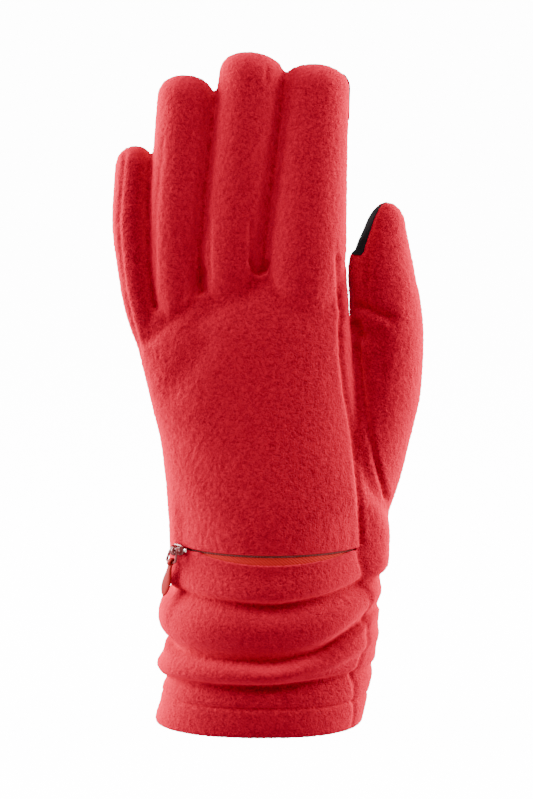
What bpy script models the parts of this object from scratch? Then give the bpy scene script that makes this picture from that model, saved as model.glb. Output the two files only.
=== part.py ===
"""A left-hand fleece glove with a zipped cuff pocket that holds a stowed mitten hood.

Units are metres and +Z is up.  The glove stands on its hem with the fingers up.
The back of the hand faces -Y, the palm faces +Y and the thumb is at +X.
The origin is under the middle of the glove, on the surface that the hem stands on.
"""

import math
from collections import namedtuple

import bmesh
import bpy
import numpy as np
from mathutils import Matrix, Vector

MM = 0.001

# Cloth and clearances.
FLEECE = 2.0 * MM
HEM_FOLD = 3.4 * MM
LINING = 1.0 * MM
GAP = 0.3 * MM
REACH = 120 * MM
DEEP = 40 * MM
FINGER_TOP = 20 * MM

# Cuff and palm: heights of the rings, then the reach of the wall to each side of the axis.
RING_Z = np.array([0, 8, 15, 23, 32, 43, 54, 66, 75, 84, 100, 116, 132, 148, 164, 178, 190]) * MM
REACH_LEFT = np.array([43, 43.5, 39.5, 42.5, 38.5, 42.5, 42, 40, 39, 39, 39.5, 42, 46, 49.5, 53, 53, 50]) * MM
REACH_RIGHT = np.array([37.5, 38.5, 38.5, 41, 40.5, 44, 44, 47, 48, 46, 41, 38, 36, 34, 32.5, 31, 30]) * MM
REACH_BACK = np.array([26, 27.5, 26, 28.5, 27, 30.5, 30.5, 33, 33, 31, 26, 23, 20.5, 18.5, 16.5, 14, 12]) * MM
REACH_PALM = np.array([26, 27.5, 26, 28.5, 27, 30, 29, 28, 27, 25.5, 23, 21.5, 20, 18, 16, 14, 12]) * MM
ROUNDNESS = 2.25
RING_SIDES = 30
# The top of the palm falls away towards the little finger.
LITTLE_SHOULDER = Vector((-50, 0, 163)) * MM
SHOULDER_SLOPE = Vector((-0.30, 0, 1))
# The ball of the thumb: height, across, towards the palm and half width of its rings.
THUMB_ROOT = (
    (86, 30, 5, 16), (100, 34.5, 5, 18), (116, 39.5, 6, 17.5), (132, 44.6, 8, 16.5), (148, 47.4, 9, 14.6),
    (160, 48.2, 9, 13.8), (171, 48.2, 9, 13.2),
)
# The wall keeps to the zip's arc this far above and below the zip, then swells past it.
LEVEL_BAND = 14 * MM
BULGE_SLOPE = 0.35

# The seams that run down the two edges of the glove, as bearings from straight back (-Y).
SEAM_RIGHT = math.radians(68)
SEAM_LEFT = math.radians(-96)
WEDGE_HEIGHTS = (60 * MM, 300 * MM)
# The seam between the hand and the ball of the thumb: a point on it, and the way it faces.
THUMB_SEAM = Vector((36.4, 0, 155)) * MM
THUMB_SEAM_FACES = Vector((63, 0, 11.6)).normalized()

# The zip lies on one level arc, so the slider turns about the arc's centre as it runs.
ZIP_Z = 74.6 * MM
ZIP_CENTRE = Vector((2 * MM, 20 * MM, 0))
ZIP_RADIUS = 50 * MM
COIL_ENDS = (math.radians(-45), math.radians(47))
TAPE_ENDS = (math.radians(-51), math.radians(50))
SLIT = 0.7 * MM
TAPE_WIDTH = 5.5 * MM
TAPE_DEEP = 2.6 * MM
TAPE_THICK = 0.6 * MM
COIL_DEEP = 3.5 * MM
COIL_THICK = 0.9 * MM
COIL_WIDTH = 1.2 * MM
LIP_ABOVE = 1.0 * MM
LIP_BELOW = 4.2 * MM
SLOT_LEFT = -37.6 * MM
SLOT_BACK = -9 * MM
ARC_STEP = math.radians(8)

# The pocket under the zip, and the mitten hood folded flat in it.
POCKET_HEIGHTS = np.array([18, 23, 32, 43, 54, 66, 75, 86]) * MM
POCKET_BEARINGS = np.radians([-93, -88, -78, -64, -50, -36, -22, -8, 6, 20, 34, 48, 62, 74, 80, 84])
POCKET_DEPTH = 7.8 * MM
POCKET_EDGE = 3.2 * MM
HOOD_HEIGHTS = (25 * MM, 68 * MM)
HOOD_BEARINGS = np.radians(np.arange(-58, 60, 12))
HOOD_CLOTH = 1.1 * MM
HOOD_PITCH = 1.5 * MM
HOOD_DEEP = 2.6 * MM

# Fingers: where each tube's middle line stands across the hand, how high, and its half width, all
# at its root inside the hand, its knuckle, its middle and its tip; then its depth as a share of
# its width, how far its middle line stands towards the palm at the knuckle and the tip, the
# fences that it stands between and how far it folds.
Finger = namedtuple("Finger", "name across up widths depth lean fences fold_deg")
# A fence is the line between two neighbours: across at the low height, across at the high one.
FENCE_Z = (165 * MM, 265 * MM)
OUTSIDE = (-90, -90)
LITTLE_RING = (-45.2, -46.4)
RING_MIDDLE = (-28.6, -18.5)
MIDDLE_INDEX = (-5.5, 9.3)
INDEX_THUMB = (33.0, 33.0)
THUMB_SIDE = (90, 90)
FINGERS = (
    Finger("little", (-41.0, -50.8, -54.6, -53.4), (134, 168, 202, 233), (7.0, 5.2, 7.1, 6.2), 1.25,
           (1.5, 8), (OUTSIDE, LITTLE_RING), 60),
    Finger("ring", (-32.0, -36.3, -34.8, -31.2), (147, 181, 214, 260.5), (8.9, 8.7, 10.4, 10.5), 1.0,
           (0, 7), (LITTLE_RING, RING_MIDDLE), 60),
    Finger("middle", (-13.0, -14.5, -10.2, -5.9), (153, 187, 220, 269), (11.0, 11.5, 12.1, 12.2), 0.88,
           (-0.5, 6), (RING_MIDDLE, MIDDLE_INDEX), 60),
    Finger("index", (13.0, 14.5, 16.9, 20.0), (154, 188, 216, 264.5), (15.0, 16.0, 14.1, 11.1), 0.86,
           (-0.2, 6.4), (MIDDLE_INDEX, INDEX_THUMB), 60),
)
THUMB = Finger("thumb", (46.5, 48.2, 46.2, 47.2), (142, 168, 188, 210.5), (13.4, 13.4, 11.4, 6.6), 0.92,
               (9, 12), (INDEX_THUMB, THUMB_SIDE), 40)
STRIP_SIDES = {"little": (1,), "ring": (-1, 1), "middle": (-1, 1), "index": (-1,), "thumb": ()}
# Touch patches: name, finger, middle and size of the block that bounds each.
PATCHES = (
    ("thumb_touch_patch", THUMB, (37.4, 12, 198), (5.0, 9.0, 14.0)),
    ("index_touch_patch", FINGERS[3], (21.5, 16, 251), (16.0, 8.0, 18.0)),
)
PATCH_THICK = 0.6 * MM
FINGER_HINGE_Y = 5 * MM
THUMB_HINGE_Y = 11 * MM
FOLD_SLACK_DEG = 2
SIDE_STRIP = 4.6 * MM
STRIP_TAPER = 0.55
# How far a tube's middle line may bow off the straight from knuckle to tip.
TUBE_BOW = 3 * MM
TUBE_SIDES = 14
TIP_ROUND = 11 * MM

# Slider, link and tab, as distances out from the zip's arc and sizes along it.
SLIDER_ANGLE = math.radians(-46.5)
SLIDER_HALF = math.radians(3.7)
PLATE_OUT = (0.6 * MM, 1.6 * MM)
PLATE_HALF = 1.6 * MM
NECK_HALF = 0.4 * MM
BODY_DEEP = (4.7 * MM, 5.8 * MM)
BODY_HALF = 3.2 * MM
FLANGE_HALF = 2.3 * MM
FLANGE_DEEP = 3.6 * MM
PIVOT_OUT = 3.6 * MM
BRIDGE_WIRE = 0.5 * MM
BRIDGE_RADIUS = 1.5 * MM
LINK_WIRE = 0.45 * MM
LINK_HALF = 2.3 * MM
LINK_DROP = 5.0 * MM
TAB_LENGTH = 14.5 * MM
TAB_HALF = 2.8 * MM
TAB_THICK = 1.2 * MM
EYE_RADIUS = 1.45 * MM
EYE_HOLE = 0.8 * MM
EYE_HALF = 1.3 * MM

# Colour, roughness and metallic value of each material.
FLEECE_RED = ((0.42, 0.012, 0.018), 0.95, 0.0)
LINING_RED = ((0.30, 0.010, 0.014), 0.85, 0.0)
TAPE_RED = ((0.45, 0.02, 0.012), 0.8, 0.0)
COIL_RED = ((0.20, 0.008, 0.008), 0.5, 0.0)
PATCH_BLACK = ((0.02, 0.02, 0.022), 0.6, 0.0)
SLIDER_RED = ((0.18, 0.008, 0.010), 0.35, 0.9)
STOP_STEEL = ((0.62, 0.60, 0.58), 0.3, 1.0)
TAB_RED = ((0.48, 0.012, 0.016), 0.45, 0.0)


def clear_scene():
    """Remove every object, so that the part is all that the file holds."""
    for old in list(bpy.data.objects):
        bpy.data.objects.remove(old, do_unlink=True)


def material(name, finish):
    """A plain Principled material."""
    colour, roughness, metallic = finish
    made = bpy.data.materials.get(name) or bpy.data.materials.new(name)
    made.use_nodes = True
    shader = made.node_tree.nodes["Principled BSDF"]
    shader.inputs["Base Color"].default_value = (*colour, 1)
    shader.inputs["Roughness"].default_value = roughness
    shader.inputs["Metallic"].default_value = metallic
    return made


def solid(name, points, faces, finish=None):
    """A mesh object with its faces turned outwards."""
    mesh = bpy.data.meshes.new(name)
    mesh.from_pydata([tuple(p) for p in points], [], faces)
    shape = bmesh.new()
    shape.from_mesh(mesh)
    bmesh.ops.recalc_face_normals(shape, faces=shape.faces)
    bmesh.ops.triangulate(shape, faces=shape.faces)
    shape.to_mesh(mesh)
    shape.free()
    made = bpy.data.objects.new(name, mesh)
    bpy.context.collection.objects.link(made)
    if finish:
        made.data.materials.append(material(name, finish))
    return made


def loft(name, rings, finish=None):
    """A closed solid through rings of equal length, with a flat face at each end."""
    rings = np.asarray(rings)
    count, sides = rings.shape[:2]
    faces = []
    for k in range(count - 1):
        for i in range(sides):
            j = (i + 1) % sides
            faces.append((k * sides + i, k * sides + j, (k + 1) * sides + j, (k + 1) * sides + i))
    faces.append(tuple(range(sides - 1, -1, -1)))
    faces.append(tuple((count - 1) * sides + i for i in range(sides)))
    return solid(name, rings.reshape(-1, 3), faces, finish)


def boolean(target, tool, operation):
    """Apply a Boolean to the target and delete the tool."""
    cut = target.modifiers.new("cut", "BOOLEAN")
    cut.operation = operation
    cut.solver = "MANIFOLD"
    cut.object = tool
    result = bpy.data.meshes.new_from_object(target.evaluated_get(bpy.context.evaluated_depsgraph_get()))
    target.modifiers.clear()
    target.data = result
    bpy.data.objects.remove(tool, do_unlink=True)
    return target


def copy_of(source, name):
    """A second object with its own mesh."""
    made = source.copy()
    made.data = source.data.copy()
    made.name = name
    bpy.context.collection.objects.link(made)
    return made


def paint(target, finish):
    """Give an object its one material."""
    target.data.materials.clear()
    target.data.materials.append(material(target.name, finish))


def half_space(point, normal):
    """A big block that fills the side of a plane which its normal points into."""
    side = 2 * REACH
    block = [
        Vector((x * side, y * side, z * side)) for z in (0, 1) for x, y in ((-1, -1), (1, -1), (1, 1), (-1, 1))
    ]
    turn = Vector(normal).normalized().to_track_quat("Z", "Y").to_matrix()
    faces = [(3, 2, 1, 0), (4, 5, 6, 7), (0, 1, 5, 4), (1, 2, 6, 5), (2, 3, 7, 6), (3, 0, 4, 7)]
    return solid("half_space", [turn @ p + Vector(point) for p in block], faces)


def keep_side(target, point, normal):
    """Cut the target with a plane and keep the side that the normal points into."""
    return boolean(target, half_space(point, normal), "INTERSECT")


def wall_reach(bearing, z):
    """How far the outer wall stands from the Z axis, by bearing from -Y and by height.

    A rounded oval with its own reach to each side, trimmed by the zip's arc near the zip.
    """
    z = np.clip(z, RING_Z[0], RING_Z[-1])
    across, towards = np.sin(bearing), -np.cos(bearing)
    side = np.where(across < 0, np.interp(z, RING_Z, REACH_LEFT), np.interp(z, RING_Z, REACH_RIGHT))
    deep = np.where(towards < 0, np.interp(z, RING_Z, REACH_BACK), np.interp(z, RING_Z, REACH_PALM))
    oval = ((np.abs(across) / side) ** ROUNDNESS + (np.abs(towards) / deep) ** ROUNDNESS) ** (-1 / ROUNDNESS)
    along = across * ZIP_CENTRE.x + towards * ZIP_CENTRE.y
    rest = ZIP_CENTRE.x**2 + ZIP_CENTRE.y**2 - ZIP_RADIUS**2
    arc = along + np.sqrt(along**2 - rest)
    arc = arc + np.maximum(0, np.abs(z - ZIP_Z) - LEVEL_BAND) * BULGE_SLOPE
    return np.where(np.cos(bearing) > 0, np.minimum(oval, arc), oval)


def wall_points(bearings, z, inset):
    """Points on the wall at one height, moved towards the axis by the inset."""
    reach = wall_reach(bearings, z) - inset
    return np.stack([reach * np.sin(bearings), -reach * np.cos(bearings), np.full(len(bearings), z)], axis=1)


def wall_patch(name, bearings, heights, outer, inner, finish):
    """A closed piece of wall between two insets, over a stretch of bearings and heights.

    The insets are functions of bearing and height.
    """
    rings = []
    for z in heights:
        out = wall_points(bearings, z, outer(bearings, z))
        back = wall_points(bearings, z, inner(bearings, z))
        rings.append(np.concatenate([out, back[::-1]]))
    return loft(name, rings, finish)


def heights_between(low, high):
    """The ring heights inside a stretch, with its two ends."""
    inside = [z for z in RING_Z if low + 2 * MM < z < high - 2 * MM]
    return [low, *inside, high]


def stops(start, end):
    """The ring heights on the way from one height to another, up or down, with both ends."""
    path = heights_between(min(start, end), max(start, end))
    return path if start < end else path[::-1]


def flat(amount):
    """An inset that is the same everywhere."""
    return lambda bearings, z: np.full(len(bearings), amount)


# ---------------------------------------------------------------- hand, fingers and thumb


def palm_solid(inset):
    """The hand between wrist and knuckles as one closed solid, moved inwards by the inset."""
    bearings = np.linspace(0, 2 * math.pi, RING_SIDES, endpoint=False)
    low = ZIP_Z + LIP_ABOVE
    rings = [wall_points(bearings, z, inset) for z in heights_between(low - inset, RING_Z[-1])]
    made = loft("palm", rings)
    return keep_side(made, LITTLE_SHOULDER - SHOULDER_SLOPE.normalized() * inset, -SHOULDER_SLOPE)


def finger_frame(finger):
    """Knuckle point, direction of the tube, its sideways direction and its length."""
    knuckle = Vector((finger.across[1], 0, finger.up[1])) * MM
    tip = Vector((finger.across[3], 0, finger.up[3])) * MM
    along = (tip - knuckle).normalized()
    return knuckle, along, Vector((along.z, 0, -along.x)), (tip - knuckle).length


def finger_solid(finger, inset):
    """A finger tube with a round tip, reaching down into the hand, moved inwards by the inset.

    Each ring is a rounded oval; towards the tip its size falls off as a quarter circle does.
    """
    knuckle, _, across, length = finger_frame(finger)
    reach = length - inset
    body = np.linspace(0, reach - TIP_ROUND, 3)
    tip = reach - TIP_ROUND * (1 - np.sin(np.radians([30, 60, 82])))
    knots = (np.array(finger.up) - finger.up[1]) * MM
    turn = np.linspace(0, 2 * math.pi, TUBE_SIDES, endpoint=False)
    side = np.sign(np.cos(turn)) * np.abs(np.cos(turn)) ** (2 / ROUNDNESS)
    deep = np.sign(np.sin(turn)) * np.abs(np.sin(turn)) ** (2 / ROUNDNESS)
    rings = []
    for s in (knots[0], *body, *tip):
        x = np.interp(s, knots, finger.across) * MM
        y = (finger.lean[0] + (finger.lean[1] - finger.lean[0]) * max(s / length, 0) ** 1.6) * MM
        half = np.interp(s, knots * [1, 1, 1, 0.9], finger.widths) * MM - inset
        over = max(0.0, s - (reach - TIP_ROUND)) / TIP_ROUND
        half *= math.sqrt(1 - over**2)
        ring = [
            (x + u * half * across.x, y + v * half * finger.depth, knuckle.z + s + u * half * across.z)
            for u, v in zip(side, deep)
        ]
        rings.append(ring)
    return loft("tube", rings)


def thumb_root(inset):
    """The ball of the thumb: round rings that grow out of the wrist up to the thumb's knuckle."""
    turn = np.linspace(0, 2 * math.pi, TUBE_SIDES, endpoint=False)
    rings = []
    for z, x, y, half in THUMB_ROOT:
        grow = half * MM - inset
        height = max(z * MM, THUMB_ROOT[0][0] * MM + inset)
        rings.append([(x * MM + grow * math.cos(a), y * MM + grow * 0.95 * math.sin(a), height) for a in turn])
    return loft("thumb_root", rings)


def joined(inset):
    """Palm, fingers and thumb as one closed solid, moved inwards by the inset."""
    made = palm_solid(inset)
    for part in (*[finger_solid(f, inset) for f in FINGERS], thumb_root(inset), finger_solid(THUMB, inset)):
        made = boolean(made, part, "UNION")
    return made


def hinge_point(finger):
    """The point that a finger folds about, level with its knuckle and towards the palm."""
    knuckle = finger_frame(finger)[0]
    return knuckle + Vector((0, THUMB_HINGE_Y if finger is THUMB else FINGER_HINGE_Y, 0))


def fence_x(fence, z):
    """Where a fence stands across the hand at a height."""
    share = (z - FENCE_Z[0]) / (FENCE_Z[1] - FENCE_Z[0])
    return (fence[0] + (fence[1] - fence[0]) * share) * MM


def finger_region(finger, gap):
    """The space between a finger's fences and above its knuckle, lowered by the gap.

    On the palm side of the hinge its floor climbs for the finger and falls for the hand, so the
    two edges have room to close towards each other as the finger folds.
    """
    floor = finger.up[1] * MM - gap
    hinge = hinge_point(finger).y
    tilt = math.tan(math.radians(finger.fold_deg / 2 + FOLD_SLACK_DEG))
    climb = (DEEP - hinge) * tilt * (-1 if gap else 1)
    top = FENCE_Z[1] + FINGER_TOP
    outline = [(-DEEP, floor), (hinge, floor), (DEEP, floor + climb), (DEEP, top), (-DEEP, top)]
    rings = [[(fence_x(fence, z), y, z) for y, z in outline] for fence in finger.fences]
    return loft("region", rings)


def seam_plane(finger, face, strip_gap):
    """Point and outward normal of the plane where a finger's back (-1) or palm (1) panel begins.

    The planes stand apart where a side strip runs, close in towards the tip, and meet where
    there is no strip.
    """
    knuckle, along, across, length = finger_frame(finger)
    sides = STRIP_SIDES[finger.name]
    left = SIDE_STRIP if -1 in sides else GAP / 2
    right = SIDE_STRIP if 1 in sides else GAP / 2
    tilt = (right - left) / (2 * (max(finger.widths) * MM + TUBE_BOW))
    lean = (finger.lean[1] - finger.lean[0]) * MM / length
    taper = SIDE_STRIP * STRIP_TAPER / length if len(sides) == 2 else 0
    middle = (finger.lean[0] + 1.0) * MM
    point = knuckle + Vector((0, middle + face * ((left + right) / 2 - strip_gap), 0))
    normal = Vector((0, face, 0)) - across * tilt - along * (lean * face - taper)
    return point, normal


def split_finger(finger):
    """One finger's tube, cut into its sewn panels: back, palm side and the strips between."""
    tube = boolean(finger_solid(finger, 0), finger_solid(finger, FLEECE), "DIFFERENCE")
    tube = boolean(tube, finger_region(finger, 0), "INTERSECT")
    panels = []
    for label, face in (("back", -1), ("palm", 1)):
        point, normal = seam_plane(finger, face, 0)
        panels.append(keep_side(copy_of(tube, f"{finger.name}_{label}"), point, normal))
    knuckle, _, across, _ = finger_frame(finger)
    for side in STRIP_SIDES[finger.name]:
        strip = copy_of(tube, f"{finger.name}_strip_{'right' if side > 0 else 'left'}")
        for face in (-1, 1):
            point, normal = seam_plane(finger, face, GAP)
            strip = keep_side(strip, point, -normal)
        panels.append(keep_side(strip, knuckle + across * side * GAP / 2, across * side))
    bpy.data.objects.remove(tube, do_unlink=True)
    for panel in panels:
        paint(panel, FLEECE_RED)
        set_origin(panel, hinge_point(finger))


def set_origin(target, point):
    """Move an object's origin, leaving its shape where it is."""
    target.data.transform(Matrix.Translation(-point))
    target.location = point


def make_hand(shell):
    """The hand's sewn panels: back, palm with the side strip, and the thumb's gusset."""
    hand = copy_of(shell, "hand")
    for finger in (*FINGERS, THUMB):
        hand = boolean(hand, finger_region(finger, GAP), "DIFFERENCE")
    half_gap = THUMB_SEAM_FACES * GAP / 2
    gusset = keep_side(copy_of(hand, "thumb_gusset"), THUMB_SEAM + half_gap, THUMB_SEAM_FACES)
    inside = keep_side(hand, THUMB_SEAM - half_gap, -THUMB_SEAM_FACES)
    back = boolean(copy_of(inside, "hand_back"), back_wedge(0), "INTERSECT")
    palm = boolean(inside, back_wedge(GAP), "DIFFERENCE")
    palm.name = "hand_palm"
    for panel in (gusset, back, palm):
        paint(panel, FLEECE_RED)


def back_wedge(gap):
    """A fan-shaped block between the two edge seams, widened all round by the gap."""
    hub = Vector((0, gap, 0))
    rim = [hub + Vector((math.sin(b), -math.cos(b), 0)) * REACH for b in np.linspace(SEAM_LEFT, SEAM_RIGHT, 5)]
    rings = [[(p.x, p.y, z) for p in (hub, *rim)] for z in WEDGE_HEIGHTS]
    return loft("back_wedge", rings)


def zip_point(angle, out, z):
    """A point by its angle along the zip, its distance out from the arc and its height."""
    reach = ZIP_RADIUS + out
    return (ZIP_CENTRE.x + reach * math.sin(angle), ZIP_CENTRE.y - reach * math.cos(angle), z)


def arc_bar(name, profile, ends, finish):
    """A profile of (out, height) points carried along the zip's arc."""
    steps = max(2, round((ends[1] - ends[0]) / ARC_STEP)) + 1
    rings = [[zip_point(angle, out, ZIP_Z + up) for out, up in profile] for angle in np.linspace(*ends, steps)]
    return loft(name, rings, finish)


def oblong(deep, low, thick, wide):
    """A rectangular profile, its outer face this deep under the arc."""
    return [(-deep, low), (-deep, low + wide), (-deep - thick, low + wide), (-deep - thick, low)]


def make_zip():
    """Two tapes, two closed rows of coil and the stops at their ends."""
    for label, low, coil_low in (("upper", SLIT, SLIT), ("lower", -SLIT - TAPE_WIDTH, -SLIT - COIL_WIDTH)):
        arc_bar(f"zip_tape_{label}", oblong(TAPE_DEEP, low, TAPE_THICK, TAPE_WIDTH), TAPE_ENDS, TAPE_RED)
        arc_bar(f"zip_coil_{label}", oblong(COIL_DEEP, coil_low, COIL_THICK, COIL_WIDTH), COIL_ENDS, COIL_RED)
    stop = oblong(COIL_DEEP, -SLIT - COIL_WIDTH, COIL_THICK, 2 * (SLIT + COIL_WIDTH))
    end = COIL_ENDS[1] + math.radians(0.5)
    arc_bar("zip_bottom_stop", stop, (end, end + math.radians(1.6)), STOP_STEEL)


def make_slider():
    """The slider: a channel round the coils, a neck through the slit, a plate and a bridge."""
    half = [
        (-BODY_DEEP[1], BODY_HALF), (-FLANGE_DEEP, BODY_HALF), (-FLANGE_DEEP, FLANGE_HALF),
        (-BODY_DEEP[0], FLANGE_HALF), (-BODY_DEEP[0], NECK_HALF), (PLATE_OUT[0], NECK_HALF),
        (PLATE_OUT[0], PLATE_HALF), (PLATE_OUT[1], PLATE_HALF),
    ]
    profile = half + [(out, -up) for out, up in reversed(half)]
    slider = arc_bar("zip_slider", profile, (SLIDER_ANGLE - SLIDER_HALF, SLIDER_ANGLE + SLIDER_HALF), SLIDER_RED)
    arch = [math.radians(a) for a in range(-110, 111, 22)]
    ring = [(PIVOT_OUT + BRIDGE_RADIUS * math.cos(a), BRIDGE_RADIUS * math.sin(a)) for a in arch]
    route = [(PLATE_OUT[1] - 0.4 * MM, -BRIDGE_RADIUS), *ring, (PLATE_OUT[1] - 0.4 * MM, BRIDGE_RADIUS)]
    bridge = wire("bridge", [slider_frame() @ Vector((0, up, out)) for out, up in route], BRIDGE_WIRE, False)
    boolean(slider, bridge, "UNION")
    set_origin(slider, ZIP_CENTRE + Vector((0, 0, ZIP_Z)))
    paint(slider, SLIDER_RED)


def slider_frame():
    """Axes at the slider: X along the zip, Y up, Z outwards; the origin is on the arc."""
    origin = Vector(zip_point(SLIDER_ANGLE, 0, ZIP_Z))
    along = Vector((math.cos(SLIDER_ANGLE), math.sin(SLIDER_ANGLE), 0))
    up = Vector((0, 0, 1))
    turn = Matrix((along, up, along.cross(up))).transposed()
    return Matrix.Translation(origin) @ turn.to_4x4()


def wire(name, route, radius, closed, sides=8):
    """A round wire through the route's points, open with flat ends or closed on itself."""
    count = len(route)
    points = []
    for k, here in enumerate(route):
        before = route[(k - 1) % count] if closed or k else here
        after = route[(k + 1) % count] if closed or k < count - 1 else here
        ahead = (after - before).normalized()
        normal = wire_plane(route).normalized()
        aside = ahead.cross(normal)
        for i in range(sides):
            turn = 2 * math.pi * i / sides
            points.append(here + (aside * math.cos(turn) + normal * math.sin(turn)) * radius)
    faces = []
    for k in range(count if closed else count - 1):
        low, high = k * sides, ((k + 1) % count) * sides
        faces += [(low + i, low + (i + 1) % sides, high + (i + 1) % sides, high + i) for i in range(sides)]
    if not closed:
        faces += [tuple(range(sides - 1, -1, -1)), tuple((count - 1) * sides + i for i in range(sides))]
    return solid(name, points, faces)


def wire_plane(route):
    """The normal of the plane that a bent wire lies in."""
    total = Vector((0, 0, 0))
    for a, b in zip(route, route[1:] + route[:1]):
        total += (a - route[0]).cross(b - route[0])
    return total


def rounded_box(half_wide, low, high, corner):
    """Points round an upright rectangle with round corners, as (across, up)."""
    points = []
    for x, y, start in ((1, high, 0), (-1, high, 90), (-1, low, 180), (1, low, 270)):
        centre_y = y - corner if y == high else y + corner
        for step in (0, 30, 60, 90):
            turn = math.radians(start + step)
            points.append((x * (half_wide - corner) + corner * math.cos(turn), centre_y + corner * math.sin(turn)))
    return points


def make_link():
    """The wire link: a rectangle whose top bar runs through the bridge."""
    outline = rounded_box(LINK_HALF, -LINK_DROP, 0, 0.9 * MM)
    frame = slider_frame()
    link = wire("pull_link", [frame @ Vector((x, y, PIVOT_OUT)) for x, y in outline], LINK_WIRE, True)
    paint(link, SLIDER_RED)
    set_origin(link, frame @ Vector((0, 0, PIVOT_OUT)))


def make_tab():
    """The teardrop tab, with an eye across its neck for the link's lower bar."""
    frame = slider_frame() @ Matrix.Translation((0, -LINK_DROP, PIVOT_OUT))
    outline = []
    for turn in np.radians(np.arange(0, 360, 20)):
        across = TAB_HALF * math.cos(turn) * (0.62 - 0.38 * math.sin(turn))
        outline.append((across, TAB_LENGTH / 2 * (math.sin(turn) - 1) - 0.3 * MM))
    rings = [[frame @ Vector((x, y, side * TAB_THICK / 2)) for x, y in outline] for side in (-1, 1)]
    tab = loft("pull_tab", rings)
    circle = np.radians(np.arange(0, 360, 30))
    for radius, half, operation in ((EYE_RADIUS, EYE_HALF, "UNION"), (EYE_HOLE, 2 * EYE_HALF, "DIFFERENCE")):
        ends = [
            [frame @ Vector((x, radius * math.sin(a), radius * math.cos(a))) for a in circle] for x in (-half, half)
        ]
        tab = boolean(tab, loft("eye", ends), operation)
    paint(tab, TAB_RED)
    set_origin(tab, frame @ Vector((0, 0, 0)))


def make_cuff():
    """The cuff's two panels from zip to hem, thicker where the hem is turned up."""

    def inner(bearings, z):
        return np.full(len(bearings), HEM_FOLD if z < RING_Z[2] else FLEECE)

    low, high = 0.0, ZIP_Z + LIP_ABOVE - GAP
    slack = GAP / (40 * MM)
    back = np.linspace(SEAM_LEFT + slack, SEAM_RIGHT - slack, 20)
    front = wall_patch("cuff_back", back, heights_between(low, high), flat(0), inner, FLEECE_RED)
    slot = [
        [(x, y, z) for x, y in ((SLOT_LEFT, -REACH), (REACH, -REACH), (REACH, SLOT_BACK), (SLOT_LEFT, SLOT_BACK))]
        for z in (ZIP_Z - LIP_BELOW, ZIP_Z + DEEP)
    ]
    boolean(front, loft("slot", slot), "DIFFERENCE")
    paint(front, FLEECE_RED)
    palm = np.linspace(SEAM_RIGHT + slack, SEAM_LEFT + 2 * math.pi - slack, 20)
    wall_patch("cuff_palm", palm, heights_between(low, high), flat(0), inner, FLEECE_RED)


def make_pocket():
    """The pocket's lining and the mitten hood, a sheet folded in three, inside it."""
    fade = np.interp(POCKET_BEARINGS, POCKET_BEARINGS[[0, 2, -3, -1]], [0, 1, 1, 0])

    def deep(bearings, z):
        rise = np.interp(z, POCKET_HEIGHTS[[0, 1, -2, -1]], [0, 1, 1, 0.4])
        return POCKET_EDGE + (POCKET_DEPTH - POCKET_EDGE) * fade * rise

    def back(bearings, z):
        return deep(bearings, z) + LINING

    wall_patch("pocket_lining", POCKET_BEARINGS, POCKET_HEIGHTS, deep, back, LINING_RED)
    low, high = HOOD_HEIGHTS
    turn = 2 * HOOD_CLOTH
    first, second, third = (HOOD_DEEP + layer * HOOD_PITCH for layer in range(3))
    runs = (
        (first, low, high), (second + HOOD_CLOTH, high, low + turn), (third, low + turn, high - turn),
        (third + HOOD_CLOTH, high - turn, low), (second, low, high - turn), (first + HOOD_CLOTH, high - turn, low),
    )
    rings = []
    for bearing in HOOD_BEARINGS:
        here = np.array([bearing])
        rings.append([wall_points(here, z, inset)[0] for inset, start, end in runs for z in stops(start, end)])
    loft("mitten_hood", rings, LINING_RED)


def make_patches():
    """The black touch patches on the thumb's inner edge and the index finger's palm side."""
    for name, finger, centre, size in PATCHES:
        skin = boolean(finger_solid(finger, -GAP - PATCH_THICK), finger_solid(finger, -GAP), "DIFFERENCE")
        block = []
        for z in (-1, 1):
            block.append([
                Vector((centre[0] + x * size[0] / 2, centre[1] + y * size[1] / 2, centre[2] + z * size[2] / 2)) * MM
                for x, y in ((-1, -1), (1, -1), (1, 1), (-1, 1))
            ])
        skin = boolean(skin, loft("block", block), "INTERSECT")
        skin.name = name
        paint(skin, PATCH_BLACK)
        set_origin(skin, hinge_point(finger))


def main():
    clear_scene()
    shell = boolean(joined(0), joined(FLEECE), "DIFFERENCE")
    make_hand(shell)
    for finger in (*FINGERS, THUMB):
        split_finger(finger)
    bpy.data.objects.remove(shell, do_unlink=True)
    make_cuff()
    make_pocket()
    make_patches()
    make_zip()
    make_slider()
    make_link()
    make_tab()


main()
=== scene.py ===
"""Looks of a left-hand fleece glove with a zipped cuff pocket, built round its CAD frame.

Units in the tables are millimetres.  The glove stands on its hem with the fingers up (+Z),
the back of the hand faces -Y and the thumb is at +X.
"""

import math

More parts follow.
